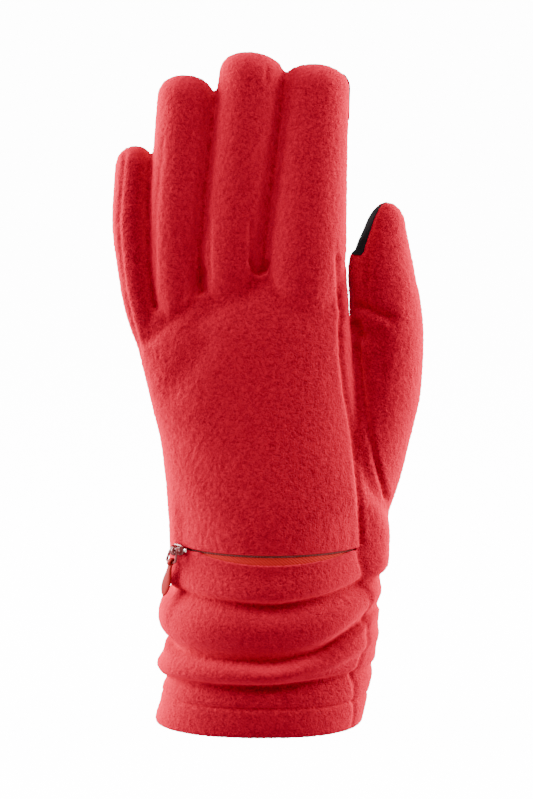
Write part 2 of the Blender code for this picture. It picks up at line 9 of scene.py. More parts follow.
import bmesh
import bpy
import numpy as np
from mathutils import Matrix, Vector

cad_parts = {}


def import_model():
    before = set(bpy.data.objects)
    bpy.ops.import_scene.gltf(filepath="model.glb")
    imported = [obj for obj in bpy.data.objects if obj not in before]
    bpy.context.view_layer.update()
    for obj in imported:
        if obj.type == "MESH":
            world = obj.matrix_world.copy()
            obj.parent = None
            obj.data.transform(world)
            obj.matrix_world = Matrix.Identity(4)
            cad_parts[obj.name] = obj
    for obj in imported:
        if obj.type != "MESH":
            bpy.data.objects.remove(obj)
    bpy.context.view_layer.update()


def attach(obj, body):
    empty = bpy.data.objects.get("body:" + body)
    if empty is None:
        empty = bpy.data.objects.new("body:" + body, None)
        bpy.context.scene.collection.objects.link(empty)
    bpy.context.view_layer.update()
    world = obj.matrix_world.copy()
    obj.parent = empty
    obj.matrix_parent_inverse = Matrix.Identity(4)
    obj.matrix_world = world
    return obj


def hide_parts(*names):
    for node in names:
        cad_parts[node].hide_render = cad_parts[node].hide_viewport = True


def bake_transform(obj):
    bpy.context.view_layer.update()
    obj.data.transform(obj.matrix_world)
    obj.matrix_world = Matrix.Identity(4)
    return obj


bl_info = {
    "name": "Fleece glove",
    "version": (1, 0, 0),
    "blender": (4, 5, 0),
    "location": "View3D > Sidebar > Glove",
    "description": "Builds a fleece glove with a zipped cuff pocket round its CAD frame",
    "category": "Add Mesh",
}

MM = 0.001

# The wall of cuff and palm: ring heights, then its reach to each side of the upright axis.
RING_Z = np.array([0, 8, 15, 23, 32, 43, 54, 66, 75, 84, 100, 116, 132, 148, 164, 178, 190.0])
REACH_LEFT = np.array([
    46.0, 44.4, 41.8, 43.8, 40.5, 43.8, 42.4, 39.0, 39.0, 39.4, 40.5, 42.3, 46.3, 50, 54, 55, 52,
])
REACH_RIGHT = np.array([
    38.8, 40.4, 41.9, 44.2, 44.5, 45.4, 45.8, 48.9, 50, 49.6, 44, 38, 36, 34.2, 33.2, 32.2, 31.4,
])
REACH_BACK = np.array([27, 27.5, 27.5, 28, 29, 30, 31, 33, 33, 31, 26, 22.5, 19.4, 16.6, 14.2, 12.6, 11.5])
REACH_PALM = np.array([27, 27.5, 27, 28, 27.5, 29, 28.5, 28, 27, 25.5, 23, 21.5, 20, 18, 16, 14, 12])
ROUNDNESS = 2.25

# The zip's arc trims the wall: fully within a level band, then less and less above and below it
# and beyond a bearing (degrees) to each side.
LEVEL_BAND = 14.0
BULGE_SLOPE = 0.35
ARC_BEARING = 67.0
ARC_OPENS = 0.6
SOFT_JOIN = 1.5

# The top of the palm: its height at the little finger's side, its rise across, its highest
# point, and how it thins over the last stretch below the knuckles.
PALM_FOOT = 58.0
PALM_EDGE_X, PALM_EDGE_Z = -50.0, 166.0
PALM_RISE = 0.35
PALM_HIGHEST = 186.0
PALM_FADE = 28.0
PALM_THIN = 0.60
PALM_STEP = 2.0
PALM_SIDES = 120

# The zip lies on one level arc.  The hand's lip ends above it, and the cuff's edge dips below it.
ZIP_Z = 74.6
ZIP_X, ZIP_Y, ZIP_RADIUS = 2.0, 20.0, 50.0
ZIP_SPAN = np.radians([-46, 48])
LIP_ABOVE = 1.15
TAPE_SHOWS = 3.3

# The ball of the thumb: height, across, towards the palm and half width of its rings.
THUMB_SIDES = 64
THUMB_ROUND = 0.95
THUMB_ROOT = np.array([
    (84, 31.5, 5, 17.4), (100, 35.5, 5, 18.9), (116, 40.5, 6, 17.6), (132, 45.4, 8, 16.8),
    (148, 47.9, 9, 15.3), (160, 48.9, 9, 14.4), (171, 48.4, 9, 13.6), (178, 47.8, 9, 12.8),
])

# Fences between neighbouring fingers: where they stand across, at a low and a high level.  The
# hand is cut a spare wider than the fingers, so that no sliver of it is left between them.
FENCE_Z = (165.0, 265.0)
FENCE_SPARE = 0.08
FENCES = {"left": (-90, -90), "little": (-45.2, -46.4), "ring": (-28.6, -18.5),
          "middle": (-5.5, 9.3), "index": (33, 33), "right": (90, 90)}
BLOCK_REACH = 50
BLOCK_TOP = 290

# Fingers: middle line across and up and half widths, each at root, knuckle, middle and tip; depth
# as a share of width; lean towards the palm at knuckle and tip; the fences on either side.
FINGERS = {
    "little": dict(across=(-37, -50.6, -53.8, -51.9), up=(128, 168, 202, 233),
                   widths=(5, 6.2, 7.8, 7.6), depth=1.2, lean=(1.5, 8), fences=("left", "little")),
    "ring": dict(across=(-32, -36.3, -34.8, -31.2), up=(147, 181, 214, 260.5),
                 widths=(7.0, 9.6, 11.2, 11.1), depth=1.0, lean=(0, 7), fences=("little", "ring")),
    "middle": dict(across=(-13, -14.2, -10.5, -4.8), up=(153, 187, 220, 269),
                   widths=(8.0, 12.9, 12.9, 12.8), depth=0.9, lean=(-0.5, 6), fences=("ring", "middle")),
    "index": dict(across=(13, 14.9, 16.7, 19.8), up=(154, 188, 216, 264.8),
                  widths=(11, 16.8, 15.0, 13.2), depth=0.86, lean=(-0.2, 6.4), fences=("middle", "index")),
    "thumb": dict(across=(46.5, 47.9, 45.2, 48.1), up=(142, 168, 188, 210.5),
                  widths=(13.8, 14.3, 13.2, 6.9), depth=0.92, lean=(9, 12), fences=("index", "right")),
}
BODY_OF = {"little": "little_finger", "ring": "ring_finger", "middle": "middle_finger",
           "index": "index_finger", "thumb": "thumb"}
PANELS = {
    "little": ("little_back", "little_palm", "little_strip_right"),
    "ring": ("ring_back", "ring_palm", "ring_strip_left", "ring_strip_right"),
    "middle": ("middle_back", "middle_palm", "middle_strip_left", "middle_strip_right"),
    "index": ("index_back", "index_palm", "index_strip_left"),
    "thumb": ("thumb_back", "thumb_palm"),
}
FINGER_SIDES = 56
FINGER_STEP = 1.5
FINGER_ROUNDNESS = 2.15
LEAN_CURVE = 1.6
TIP_ROUND = 9.5
TIP_RINGS = 16
TIP_FULLNESS = 2.5
TIP_NARROWS = 0.9

# The thumb's inner side steps back where its touch patch begins.
THUMB_STEP_Z = 189.6
THUMB_STEP_RISE = 1.2
THUMB_STEP = 2.0

PILE_SEED = 7
CUFF_PEBBLE_SHARE = 0.75

# Seams, then creases, on the back of the glove as (across, up) points, each with the depth and half
# width of its groove.
SWELL_SHARE, SWELL_AWAY, SWELL_WIDE = 0.07, 2.6, 1.3
BACK_SEAMS = (
    (((0.2, 264), (-0.2, 258)), 0.5, 0.7),
    (((-6.4, 204), (-6.6, 189)), 0.45, 0.7),
    (((-6.6, 189), (-5.3, 184.5), (-3.3, 183.2), (-0.6, 184.5), (0.8, 188)), 0.9, 0.8),
    (((27.8, 190.8), (28.7, 171.6), (29.5, 168), (28.8, 164), (29.2, 152.3), (30.9, 137.6),
      (34.1, 120), (36.6, 95.5), (38, 70)), 1.1, 0.9),
    (((36.4, 158), (36.6, 150), (38.5, 134), (40.6, 120.8), (43.5, 108.6), (48, 93)), 1.5, 1.0),
    (((-55.7, 229.6), (-58.2, 203.6), (-55.9, 177), (-50, 152)), 0.55, 0.75),
    (((-40.2, 236), (-43.5, 205), (-43.6, 180)), 0.35, 0.8),
    (((-22.2, 205), (-22.0, 182)), 0.35, 0.7),
    (((-24.4, 184), (-29, 174), (-36, 166), (-47, 157)), 0.8, 2.4),
    (((-6, 181), (-17, 173), (-28, 164)), 0.9, 4.2),
    (((-24, 156), (-31, 147), (-38, 137)), 0.9, 5.0),
    (((-36, 116), (-20, 100), (-6, 92)), 0.5, 6.0),
    (((37.5, 169.5), (42.5, 168), (49, 165.5)), 2.0, 1.8),
    (((35.5, 162), (38.5, 157)), 1.6, 1.8),
    (((44, 160), (46, 153), (45, 144)), 0.7, 2.4),
    (((40.2, 190), (40.2, 170)), 0.6, 0.8),
)

# The turned-in lower edge of the hand, step by step: how far inwards and how far up.
EDGE_STEPS = ((0.5, -0.35), (1.0, -0.35), (0.9, 0.5), (0.2, 1.5), (0.2, 4.0))


# ---------------------------------------------------------------- meshes


def eased(z, heights, values, ease=5.0):
    """A table read at heights z, averaged over a short stretch so that the line has no corners."""
    steps = np.linspace(-ease, ease, 9)
    return np.mean([np.interp(z + step, heights, values) for step in steps], axis=0)


def add_mesh(name, points, faces, finish=None):
    """A smooth-shaded mesh object from points in millimetres."""
    mesh = bpy.data.meshes.new(name)
    mesh.from_pydata(np.asarray(points, float) * MM, [], faces)
    mesh.shade_smooth()
    made = bpy.data.objects.new(name, mesh)
    bpy.context.collection.objects.link(made)
    if finish:
        mesh.materials.append(finish)
    return made


def grid_faces(rows, columns, wrap_rows=False, wrap_columns=False, first=0):
    """Four-cornered faces over a grid of points counted row by row."""
    row = np.arange(rows if wrap_rows else rows - 1)[:, None]
    column = np.arange(columns if wrap_columns else columns - 1)[None, :]
    here, below = row * columns, (row + 1) % rows * columns
    beside = (column + 1) % columns
    corners = np.broadcast_arrays(here + column, here + beside, below + beside, below + column)
    return (np.stack(corners, axis=-1).reshape(-1, 4) + first).tolist()


def closed_tube(rings, first=0):
    """Points and faces of a tube through rings, closed with a face at each end."""
    count, sides = rings.shape[:2]
    faces = grid_faces(count, sides, wrap_columns=True, first=first)
    faces.append([first + i for i in range(sides - 1, -1, -1)])
    faces.append([first + (count - 1) * sides + i for i in range(sides)])
    return rings.reshape(-1, 3), faces


def turned_out(target):
    """Turn the faces of a closed mesh outwards."""
    shape = bmesh.new()
    shape.from_mesh(target.data)
    bmesh.ops.recalc_face_normals(shape, faces=shape.faces)
    shape.to_mesh(target.data)
    shape.free()
    return target


def sharpened(target, degrees=50):
    """Keep edges sharp where a mesh folds by more than an angle."""
    target.data.set_sharp_from_angle(angle=math.radians(degrees))
    return target


def round_oval(turn, roundness):
    """Across and upwards shares of a rounded oval at angles round it."""
    across, upwards = np.cos(turn), np.sin(turn)
    power = 2 / roundness
    return np.sign(across) * np.abs(across) ** power, np.sign(upwards) * np.abs(upwards) ** power


def once_round(sides):
    """Angles once round a ring, as one row."""
    return np.linspace(0, 2 * math.pi, sides, endpoint=False)[None, :]


def settled(target):
    """Apply an object's modifiers to its mesh."""
    graph = bpy.context.evaluated_depsgraph_get()
    result = bpy.data.meshes.new_from_object(target.evaluated_get(graph))
    target.modifiers.clear()
    target.data = result
    return target


def arrays(target):
    """A mesh's points in millimetres and its point normals."""
    mesh = target.data
    points = np.empty(len(mesh.vertices) * 3)
    mesh.vertices.foreach_get("co", points)
    normals = np.empty(len(mesh.vertices) * 3)
    mesh.vertex_normals.foreach_get("vector", normals)
    return points.reshape(-1, 3) / MM, normals.reshape(-1, 3)


def put_points(target, points):
    """Write points in millimetres back to a mesh."""
    target.data.vertices.foreach_set("co", (points * MM).ravel())
    target.data.update()


# ---------------------------------------------------------------- hand


def wall_reach(bearing, z):
    """How far the wall stands from the upright axis: a rounded oval with its own reach to each
    side, softly trimmed by the zip's arc."""
    across, towards = np.sin(bearing), -np.cos(bearing)
    side = np.where(across < 0, eased(z, RING_Z, REACH_LEFT), eased(z, RING_Z, REACH_RIGHT))
    deep = np.where(towards < 0, eased(z, RING_Z, REACH_BACK), eased(z, RING_Z, REACH_PALM))
    sides, depths = (np.abs(across) / side) ** ROUNDNESS, (np.abs(towards) / deep) ** ROUNDNESS
    oval = (sides + depths) ** (-1 / ROUNDNESS)
    along = across * ZIP_X + towards * ZIP_Y
    arc = along + np.sqrt(along**2 - ZIP_X**2 - ZIP_Y**2 + ZIP_RADIUS**2)
    arc = arc + np.maximum(0, np.abs(z - ZIP_Z) - LEVEL_BAND) * BULGE_SLOPE
    arc = arc + np.maximum(0, np.abs(np.degrees(bearing)) - ARC_BEARING) * ARC_OPENS
    return -SOFT_JOIN * np.log(np.exp(-oval / SOFT_JOIN) + np.exp(-arc / SOFT_JOIN))


def wall_points(bearing, z, inset=0.0):
    """Points on the wall at bearings and heights, moved towards the axis by the inset."""
    bearing, z = np.broadcast_arrays(bearing, z)
    reach = wall_reach(bearing, z) - inset
    return np.stack([reach * np.sin(bearing), -reach * np.cos(bearing), z], axis=-1)


def palm_rings():
    """Rings of the hand from wrist to knuckles; the top falls away towards the little finger."""
    bearing = (once_round(PALM_SIDES) + math.pi) % (2 * math.pi) - math.pi
    height = np.arange(PALM_FOOT, RING_Z[-1] + 1, PALM_STEP)
    rings = wall_points(bearing, height[:, None])
    top = np.minimum(PALM_EDGE_Z + PALM_RISE * (rings[..., 0] - PALM_EDGE_X), PALM_HIGHEST)
    rings[..., 2] = np.minimum(rings[..., 2], top)
    near = np.clip((top - rings[..., 2]) / PALM_FADE, 0, 1)
    rings[..., 1] *= PALM_THIN + (1 - PALM_THIN) * near * (2 - near)
    return rings


def thumb_root_rings():
    """Rounded rings that grow out of the wrist up to the thumb's knuckle."""
    height = np.arange(THUMB_ROOT[0, 0], THUMB_ROOT[-1, 0], PALM_STEP)
    x, y, half = (eased(height, THUMB_ROOT[:, 0], THUMB_ROOT[:, k])[:, None] for k in (1, 2, 3))
    turn = once_round(THUMB_SIDES)
    points = [x + half * np.cos(turn), y + THUMB_ROUND * half * np.sin(turn), height[:, None] + 0 * turn]
    return np.stack(points, axis=-1)


def finger_rings(across, up, widths, depth, lean, **_):
    """Oval rings along a finger; towards the tip their size falls off as a quarter circle does."""
    length = math.hypot(across[3] - across[1], up[3] - up[1])
    lift, slide = (up[3] - up[1]) / length, (across[3] - across[1]) / length
    knots = np.array(up) - up[1]
    body = np.arange(knots[0], length - TIP_ROUND, FINGER_STEP)
    tip = length - TIP_ROUND * (1 - np.sin(np.radians(np.linspace(0, 89, TIP_RINGS))))
    s = np.concatenate([body, tip])
    x = eased(s, knots, across, 8.0)
    y = lean[0] + (lean[1] - lean[0]) * np.clip(s / length, 0, 1) ** LEAN_CURVE
    over = np.clip((s - (length - TIP_ROUND)) / TIP_ROUND, 0, 1)
    falls = np.sqrt(1 - over**TIP_FULLNESS + 1e-4)
    half = eased(s, knots * [1, 1, 1, TIP_NARROWS], widths, 8.0) * falls
    side, deep = round_oval(once_round(FINGER_SIDES), FINGER_ROUNDNESS)
    x, y, half, s = (value[:, None] for value in (x, y, half, s))
    points = [x + side * half * lift, y + deep * half * depth, up[1] + s - side * half * slide]
    return np.stack(points, axis=-1)


def line_distance(points, line):
    """Distance of points (across, up) from a line of straight pieces."""
    nearest = np.full(len(points), np.inf)
    for start, end in zip(np.array(line[:-1], float), np.array(line[1:], float)):
        way = end - start
        share = np.clip(((points - start) @ way) / (way @ way), 0, 1)
        nearest = np.minimum(nearest, np.linalg.norm(points - start - share[:, None] * way, axis=1))
    return nearest


def press_seams(target, seams, facing):
    """Press seam grooves into a surface, with a little swell of cloth beside each.

    A groove falls off as a bell of the distance from the seam, and only where the surface faces
    the given way.
    """
    points, normals = arrays(target)
    turned = np.clip((normals @ np.array(facing) - 0.05) / 0.25, 0, 1)
    offset = np.zeros(len(points))
    for line, depth, half in seams:
        away = line_distance(points[:, [0, 2]], line)
        groove = -depth * np.exp(-((away / half) ** 2))
        swell = SWELL_SHARE * depth * np.exp(-(((away - SWELL_AWAY * half) / (SWELL_WIDE * half)) ** 2))
        offset += (groove + swell) * turned
    put_points(target, points + normals * offset[:, None])


def pebbled(points, normals, amount):
    """Move every point in or out a little at random, as the tufts of the pile do."""
    chance = np.random.default_rng(PILE_SEED)
    return points + normals * chance.normal(0, amount, len(points))[:, None]


def trimmed_thumb(points, outwards):
    """Take the thumb's inner side back above the line where its touch patch begins."""
    above = np.clip((points[..., 2] - THUMB_STEP_Z) / THUMB_STEP_RISE, 0, 1)
    on_thumb = points[..., 0] > FENCES["index"][0]
    moved = points.copy()
    moved[..., 0] += THUMB_STEP * above * on_thumb * np.clip(-outwards[..., 0], 0, 1)
    return moved


def glove_body(voxel, rounds):
    """Palm, thumb root and fingers grown together into one smooth closed skin."""
    points, faces = [], []
    for rings in (palm_rings(), thumb_root_rings(), *(finger_rings(**f) for f in FINGERS.values())):
        more, more_faces = closed_tube(rings, sum(len(p) for p in points))
        points.append(more)
        faces += more_faces
    body = add_mesh("glove_body", np.concatenate(points), faces)
    remesh = body.modifiers.new("voxel", "REMESH")
    remesh.mode = "VOXEL"
    remesh.voxel_size = voxel
    smooth = body.modifiers.new("smooth", "SMOOTH")
    smooth.factor = 0.5
    smooth.iterations = rounds
    return settled(body)


def solid_block(outline_left, outline_right):
    """A closed block between two outlines of equal length."""
    rings = np.array([outline_left, outline_right], float)
    points, faces = closed_tube(rings)
    return turned_out(add_mesh("block", points, faces))


def finger_block(name, spare=0.0):
    """The space above a finger's knuckle and between its fences, widened by the spare."""
    finger = FINGERS[name]
    reach, knuckle = BLOCK_REACH, finger["up"][1]
    corners = ((-reach, knuckle), (reach, knuckle), (reach, BLOCK_TOP), (-reach, BLOCK_TOP))
    sides = []
    for fence, outwards in zip(finger["fences"], (-spare, spare)):
        low, high = np.array(FENCES[fence]) + outwards
        outline = []
        for y, z in corners:
            share = (z - FENCE_Z[0]) / (FENCE_Z[1] - FENCE_Z[0])
            outline.append((low + (high - low) * share, y, z))
        sides.append(outline)
    return solid_block(*sides)


def carve(target, tool, operation):
    """Apply a Boolean and delete the tool."""
    cut = target.modifiers.new("cut", "BOOLEAN")
    cut.operation = operation
    cut.solver = "MANIFOLD"
    cut.object = tool
    settled(target)
    bpy.data.objects.remove(tool, do_unlink=True)
    return target


def copy_of(source, name):
    """A second object with its own mesh."""
    made = source.copy()
    made.data = source.data.copy()
    made.name = name
    bpy.context.collection.objects.link(made)
    return made


def turn_in_edge(target, height):
    """Cut a skin off level and turn its lower edge in, as the folded edge of the cloth is."""
    shape = bmesh.new()
    shape.from_mesh(target.data)
    every = shape.verts[:] + shape.edges[:] + shape.faces[:]
    level = dict(plane_co=(0, 0, height * MM), plane_no=(0, 0, 1))
    bmesh.ops.bisect_plane(shape, geom=every, clear_inner=True, **level)
    for inwards, lift in EDGE_STEPS:
        edges = [e for e in shape.edges if e.is_boundary]
        grown = bmesh.ops.extrude_edge_only(shape, edges=edges)["geom"]
        for point in (g for g in grown if isinstance(g, bmesh.types.BMVert)):
            outwards = Vector((point.co.x, point.co.y, 0)).normalized()
            point.co -= outwards * inwards * MM
            point.co.z += lift * MM
    shape.to_mesh(target.data)
    shape.free()


def build_hand(look):
    """The hand and its five fingers, cut at the knuckles from one skin so that they meet exactly."""
    skin = glove_body(look.voxel, look.smoothing)
    press_seams(skin, BACK_SEAMS, (0, -1, 0))
    put_points(skin, trimmed_thumb(*arrays(skin)))
    put_points(skin, pebbled(*arrays(skin), look.pebble))
    cloth = fleece_material(look)
    skin.data.materials.append(cloth)
    for name, finger in FINGERS.items():
        tube = carve(copy_of(skin, f"{name}_fleece"), finger_block(name), "INTERSECT")
        tube.data.shade_smooth()
        sharpened(tube)
        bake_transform(tube)
        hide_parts(*PANELS[name])
    for name in FINGERS:
        carve(skin, finger_block(name, FENCE_SPARE), "DIFFERENCE")
    skin.name = "hand_fleece"
    turn_in_edge(skin, ZIP_Z + LIP_ABOVE)
    skin.data.shade_smooth()
    sharpened(skin)
    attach(skin, "hand")
    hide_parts("hand_back", "hand_palm", "thumb_gusset")


# ---------------------------------------------------------------- cuff

# Folds of the bunched cuff, each a line round the cuff: bearings, its heights there, how far it
# stands out (or in, where negative) there, and its half widths above and below the line.
FOLD_BEARINGS = (-180, -95, -50, 7, 45, 79, 110)
FOLDS = (
    (FOLD_BEARINGS, (57, 58, 56, 54.2, 57, 62, 60), (-1, -2.9, -2.2, -3.4, -3, -1.6, -0.6), 2.0, 4.6),
    (FOLD_BEARINGS, (62, 63, 61, 60, 62, 67, 65), (0.6, 0.2, 1, 1.4, 1.2, 0.4, 0.4), 4.5, 3.0),
    (FOLD_BEARINGS, (44, 43.5, 44, 44, 46, 54, 50), (0.6, 0.3, 1.2, 1.2, 1.5, 0.8, 0.2), 6.0, 7.0),
    ((-180, -95, -73, 7, 39, 64, 80, 110), (34, 36, 32.5, 30.6, 34, 44, 50, 46),
     (-2, -3.4, -2.9, -3.2, -3.4, -3, -1, -1), 4.5, 1.6),
    ((-180, -95, -73, 7, 45, 64, 80, 110), (26, 24.5, 26, 26.3, 30.5, 36, 38, 32),
     (1.2, 1, 1.8, 2.4, 2.0, 1.6, 0.6, 0.4), 3.2, 3.2),
    ((-180, -95, -57, 7, 57, 80, 110), (20, 18.5, 21.5, 21.2, 24, 25, 24),
     (-1.6, -1.4, -2, -2.8, -2, -1, -1), 1.5, 3.4),
    ((-180, -90, 0, 90), (12.4, 12.4, 12.4, 12.4), (-0.7, -0.7, -0.8, -0.7), 0.9, 0.9),
    ((-180, -90, 0, 90), (8, 7.5, 6, 8), (0.1, -0.6, 0.5, 0.2), 4, 5),
)
FOLD_FADE = 6.0

# The cuff's side seam as (height, bearing in degrees), with depth and half width of its groove.
SIDE_SEAM_CUFF = ((-5, 67), (5, 67), (23, 63), (42, 69), (57, 70), (65, 68), (75, 65.5))
CUFF_SEAM = (0.7, 1.1)

# The cuff's edge: how high it stands beside the zip and how far it drops at the pocket's mouth,
# then where the mouth begins and ends (degrees), the fold of the hem as (height, inset), and the
# rim as (height above the edge, inset).
EDGE_ABOVE, EDGE_DROP = 1.7, 2.2
MOUTH = (-66, 67)
HEM_FOLD = ((0.45, 0.4), (0.1, 1.0), (0.0, 1.8), (0.1, 2.6), (0.5, 3.2))
HEM_TOP = 12.0
CLOTH_THICK, HEM_THICKER = 2.1, 1.3
OUTSIDE_LOW, INSIDE_LOW = 1.2, 1.4
RIM = ((0.1, 1.4), (0.3, 0.7))


def round_table(bearing, places, values):
    """A table of values by bearing in degrees, read all the way round and eased."""
    places, values = np.array(places, float), np.array(values, float)
    wide = np.concatenate([places, [places[0] + 360]])
    again = np.concatenate([values, values[:1]])
    degrees = np.degrees(bearing)
    total = np.zeros_like(degrees)
    steps = np.linspace(-9, 9, 7)
    for step in steps:
        total += np.interp((degrees + step - places[0]) % 360 + places[0], wide, again)
    return total / len(steps)


def fold_height(bearing, z, strength):
    """How far the folds push the cuff's cloth out at each point: a sum of two-sided bells."""
    total = np.zeros(np.broadcast(bearing, z).shape)
    for places, heights, pushes, above, below in FOLDS:
        away = z - round_table(bearing, places, heights)
        half = np.where(away > 0, above, below)
        total += round_table(bearing, places, pushes) * np.exp(-((away / half) ** 2))
    return total * strength


def moved_out(points, bearing, push):
    """Points moved level away from the upright axis."""
    points[..., 0] += push * np.sin(bearing)
    points[..., 1] -= push * np.cos(bearing)
    return points


def cuff_top(bearing):
    """Height of the cuff's upper edge: it dips below the zip to show the tape."""
    degrees = np.degrees(bearing)
    inside = np.clip((degrees - MOUTH[0]) / 2.5, 0, 1) * np.clip((MOUTH[1] - degrees) / 2.0, 0, 1)
    share = np.clip((degrees + 52) / 112, 0, 1)
    return ZIP_Z + EDGE_ABOVE - inside * EDGE_DROP - TAPE_SHOWS * np.sin(math.pi * share) ** 0.6


def build_cuff(look):
    """The cuff as one closed skin: down the outside, round the hem, up the inside and over the top.

    Each point is a bearing and a place along that round trip; the outside carries the folds.
    """
    bearing = np.linspace(-math.pi, math.pi, look.cuff_columns, endpoint=False)[None, :]
    rows = look.cuff_rows
    down = np.linspace(0, 1, rows)[:, None]
    top = cuff_top(bearing)
    outer_z = top + (OUTSIDE_LOW - top) * down
    push = fold_height(bearing, outer_z, look.fold_strength) * np.clip((top - outer_z) / FOLD_FADE, 0, 1)
    seam_bearing = np.radians(np.interp(outer_z, *zip(*SIDE_SEAM_CUFF)))
    away = (bearing - seam_bearing) * wall_reach(bearing, outer_z)
    push = push - CUFF_SEAM[0] * np.exp(-((away / CUFF_SEAM[1]) ** 2))
    outer = moved_out(wall_points(bearing, outer_z), bearing, push)
    turn_z, turn_in = np.array(HEM_FOLD).T[..., None]
    hem = wall_points(bearing, turn_z + 0 * bearing, turn_in + 0 * bearing)
    up = np.linspace(0, 1, rows // 3)[:, None]
    inner_z = INSIDE_LOW + (top - 0.5 - INSIDE_LOW) * up
    thick = CLOTH_THICK + HEM_THICKER * (inner_z < HEM_TOP)
    shift = fold_height(bearing, inner_z, look.fold_strength) * np.clip((top - inner_z) / FOLD_FADE, 0, 1)
    inner = moved_out(wall_points(bearing, inner_z, thick), bearing, shift)
    rim = [wall_points(bearing, top + above, inset + 0 * bearing) for above, inset in RIM]
    grid = np.concatenate([outer, hem, inner, *rim])
    faces = grid_faces(len(grid), grid.shape[1], wrap_rows=True, wrap_columns=True)
    cuff = turned_out(add_mesh("cuff_fleece", grid.reshape(-1, 3), faces, fleece_material(look)))
    uneven = pebbled(*arrays(cuff), look.pebble * CUFF_PEBBLE_SHARE)
    uneven[:, 2] = np.maximum(uneven[:, 2], 0)
    put_points(cuff, uneven)
    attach(cuff, "hand")
    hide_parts("cuff_back", "cuff_palm")


# ---------------------------------------------------------------- zip

TAPE_SPAN = np.radians([-51, 50])
TAPE_DEEP = 1.5
TAPE_THICK, TAPE_CROWN = 0.6, 0.15
COIL_DEEP = 2.3
COIL_PITCH = 1.3
LOOP_ROUND, LOOP_WIRE = 0.85, 0.32
LOOP_APART = 0.42


def zip_points(angle, out, z):
    """Points by angle along the zip, distance out from its arc and height."""
    angle, out, z = np.broadcast_arrays(angle, out, z)
    reach = ZIP_RADIUS + out
    return np.stack([ZIP_X + reach * np.sin(angle), ZIP_Y - reach * np.cos(angle), z], axis=-1)


def arc_strip(name, profile, span, finish, steps=160):
    """A closed profile of (out, height) carried along the zip's arc, with a face at each end."""
    profile = np.array(profile)
    angle = np.linspace(*span, steps)[:, None]
    points, faces = closed_tube(zip_points(angle, profile[None, :, 0], profile[None, :, 1]))
    made = sharpened(turned_out(add_mesh(name, points, faces, finish)), 40)
    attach(made, "hand")
    return made


def build_tapes(look):
    """The two woven tapes: the lower one shows under the gap, the upper one hides behind the lip."""
    cloth = tape_material(look)
    for label, low, high in (("upper", 0.35, 6.2), ("lower", -6.2, -0.5)):
        low, high = ZIP_Z + low, ZIP_Z + high
        profile = [
            (-TAPE_DEEP, low), (-TAPE_DEEP + TAPE_CROWN, (low + high) / 2), (-TAPE_DEEP, high),
            (-TAPE_DEEP - TAPE_THICK, high), (-TAPE_DEEP - TAPE_THICK, low),
        ]
        tape = arc_strip(f"tape_{label}", profile, TAPE_SPAN, cloth)
        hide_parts(f"zip_tape_{label}")


def build_coils(look):
    """Two rows of small nylon loops that mesh along the arc: each loop is a bent bar.

    A loop is a tube round a half circle that bulges out of the glove.
    """
    # The coil's nylon colour is its own red, darkened with painted shade as if it lay in the shadow of the
    # cuff's lip.
    nylon = plain_material("coil_nylon", look.coil_colour_and_shade, 0.45)
    length = (ZIP_SPAN[1] - ZIP_SPAN[0]) * ZIP_RADIUS
    count = int(length / COIL_PITCH)
    around = np.linspace(0, 2 * math.pi, 6, endpoint=False)
    bend = np.linspace(math.radians(-100), math.radians(100), 7)
    for label, side in (("upper", 1), ("lower", -1)):
        first = ZIP_SPAN[0] + (0.25 if side > 0 else 0.75) * COIL_PITCH / ZIP_RADIUS
        angles = first + np.arange(count) * COIL_PITCH / ZIP_RADIUS
        radius = LOOP_ROUND + LOOP_WIRE * np.cos(around)[None, :]
        out = radius * np.cos(bend)[:, None]
        up = radius * np.sin(bend)[:, None]
        along = LOOP_WIRE * np.sin(around)[None, :] + 0 * up
        angle = angles[:, None, None] + along[None] / ZIP_RADIUS
        rings = zip_points(angle, -COIL_DEEP - 0.45 + out[None], ZIP_Z + side * LOOP_APART + up[None])
        points, faces = [], []
        for one in rings:
            more, more_faces = closed_tube(one, sum(len(p) for p in points))
            points.append(more)
            faces += more_faces
        row = turned_out(add_mesh(f"coil_{label}", np.concatenate(points), faces, nylon))
        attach(row, "hand")
        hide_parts(f"zip_coil_{label}")


# ---------------------------------------------------------------- pocket

POCKET_Z = (18.0, 86.0)
POCKET_BEARINGS = np.radians(np.linspace(-92, 83, 120))
POCKET_SEWN, POCKET_BELLY = 3.4, 5.2
LINING_THICK = 0.8
HOOD_BEARINGS = np.radians(np.linspace(-57, 49, 90))
HOOD_Z = (26.0, 66.0)
HOOD_LAYERS = (2.6, 4.0, 5.4)


def pushed(points, bearing, z, look):
    """Points of the wall moved out or in by the folds, which fade out below the cuff's edge."""
    push = fold_height(bearing, z, look.fold_strength) * np.clip((ZIP_Z - z) / FOLD_FADE, 0, 1)
    return moved_out(points, bearing, push)


def closed_ring_piece(name, path, bearings, look, finish):
    """A closed outline of (inset, height) carried round the wall, following the cuff's folds."""
    inset, z = np.array(path).T
    bearing, z = bearings[:, None], z[None, :]
    points, faces = closed_tube(pushed(wall_points(bearing, z, inset[None, :]), bearing, z, look))
    made = sharpened(turned_out(add_mesh(name, points, faces, finish)), 60)
    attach(made, "hand")
    return made


def build_pocket(look):
    """The lining sewn behind the cuff, deepest in the middle."""
    z = np.linspace(*POCKET_Z, 50)
    belly = np.clip((z - POCKET_Z[0]) / 8, 0, 1) * np.clip((POCKET_Z[1] + 8 - z) / 16, 0, 1)
    deep = POCKET_SEWN + POCKET_BELLY * belly
    path = [*zip(deep, z), *zip(deep[::-1] + LINING_THICK, z[::-1])]
    lining = closed_ring_piece("pocket_lining_cloth", path, POCKET_BEARINGS, look, lining_material(look))
    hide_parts("pocket_lining")


